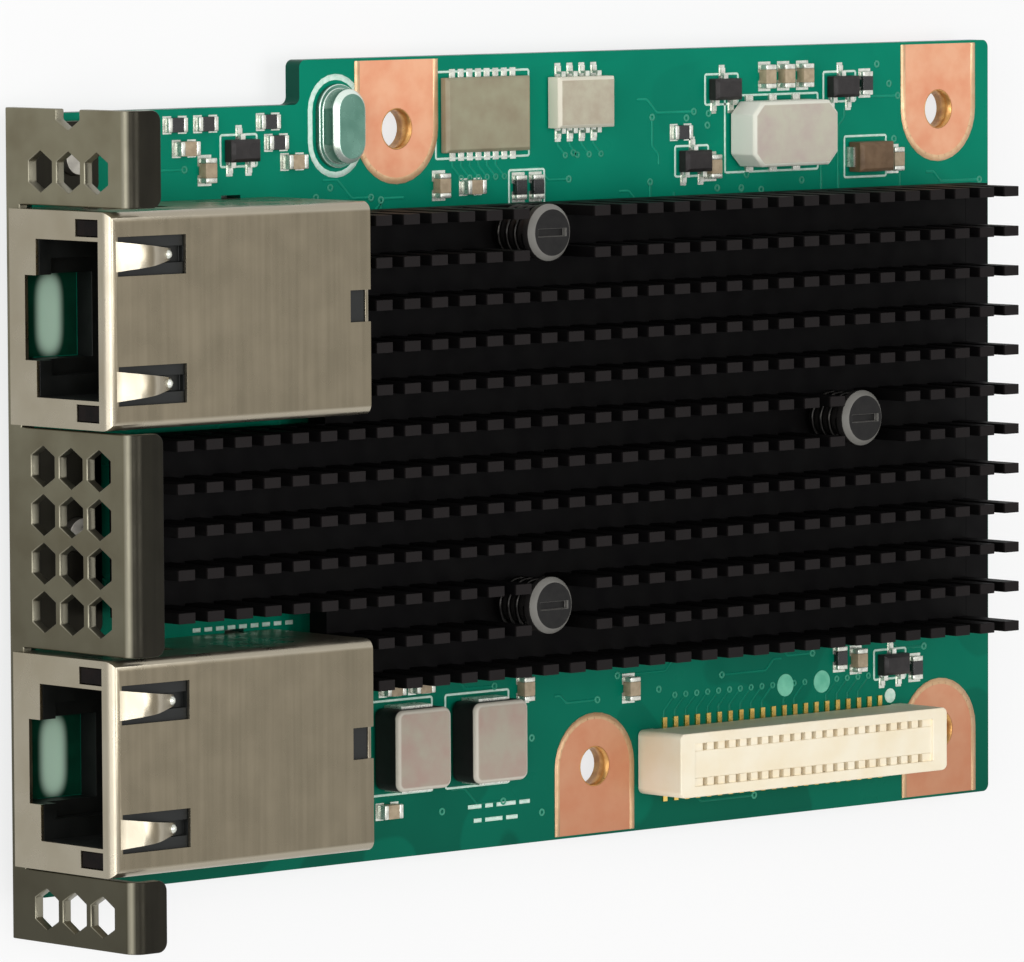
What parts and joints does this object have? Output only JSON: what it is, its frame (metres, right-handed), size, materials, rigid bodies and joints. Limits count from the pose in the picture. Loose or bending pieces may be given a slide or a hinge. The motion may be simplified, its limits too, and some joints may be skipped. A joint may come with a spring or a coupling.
{
  "type": "mezzanine network card",
  "caption": "Flat network card with two shielded jacks in a vented folded bracket, a black pin-fin heat sink and a cream board-to-board connector.",
  "frame": {"origin": "middle of the card's footprint, at the height of the push-pin tips it lies on", "axes": "+X along the card's length, away from the bracket; +Z out of the component face; the jacks open to -X"},
  "size_m": [0.1028, 0.0648, 0.0167],
  "materials": {
    "solder_mask": "glossy green lacquer over glass laminate",
    "bare_copper": "bare copper, satin",
    "bracket_steel": "plated sheet, satin",
    "screw_steel": "zinc plated",
    "shield_steel": "tinned sheet, satin",
    "jack_plastic": "moulded black",
    "contact_gold": "gold plated",
    "port_light": "smoked clear",
    "magnetics_resin": "potted black",
    "tinned_metal": "tin plated",
    "sink_black": "black anodised",
    "pin_nylon": "natural grey nylon",
    "spring_steel": "drawn wire",
    "thermal_gum": "soft pad",
    "substrate_green": "laminate",
    "lid_nickel": "nickel plated",
    "connector_cream": "moulded cream",
    "choke_ferrite": "ground ferrite",
    "inductor_pale": "pale moulded block",
    "crystal_can": "nickel plated can",
    "interface_chip": "moulded brown grey",
    "memory_chip": "moulded grey",
    "small_chip": "moulded black",
    "block_capacitor": "moulded brown",
    "capacitor_ceramic": "fired brown",
    "resistor_black": "glazed black"
  },
  "bodies": {
    "root": {"circuit_board": "solder_mask", "ground_pads": "bare_copper", "bracket": "bracket_steel", "bracket_screws": "screw_steel", "heat_sink": "sink_black", "push_pins": "pin_nylon", "push_pin_springs": "spring_steel", "thermal_pad": "thermal_gum", "controller_substrate": "substrate_green", "controller_lid": "lid_nickel", "connector_body": "connector_cream", "connector_contacts": "contact_gold", "power_choke_bodies": "choke_ferrite", "power_choke_clips": "tinned_metal", "supply_inductor_body": "inductor_pale", "supply_inductor_pins": "tinned_metal", "crystal_can": "crystal_can", "interface_chip_body": "interface_chip", "interface_chip_pads": "tinned_metal", "memory_chip_body": "memory_chip", "memory_chip_leads": "tinned_metal", "small_chip_bodies": "small_chip", "small_chip_leads": "tinned_metal", "block_capacitor_body": "block_capacitor", "block_capacitor_ends": "tinned_metal", "chip_capacitors": "capacitor_ceramic", "chip_resistors": "resistor_black", "chip_end_caps": "tinned_metal", "test_pads": "tinned_metal", "lower_jack_shield": "shield_steel", "lower_jack_housing": "jack_plastic", "lower_jack_contacts": "contact_gold", "lower_jack_lights": "port_light", "lower_jack_magnetics": "magnetics_resin", "lower_jack_solder_pins": "tinned_metal", "upper_jack_shield": "shield_steel", "upper_jack_housing": "jack_plastic", "upper_jack_contacts": "contact_gold", "upper_jack_lights": "port_light", "upper_jack_magnetics": "magnetics_resin", "upper_jack_solder_pins": "tinned_metal"}
  },
  "joints": []
}
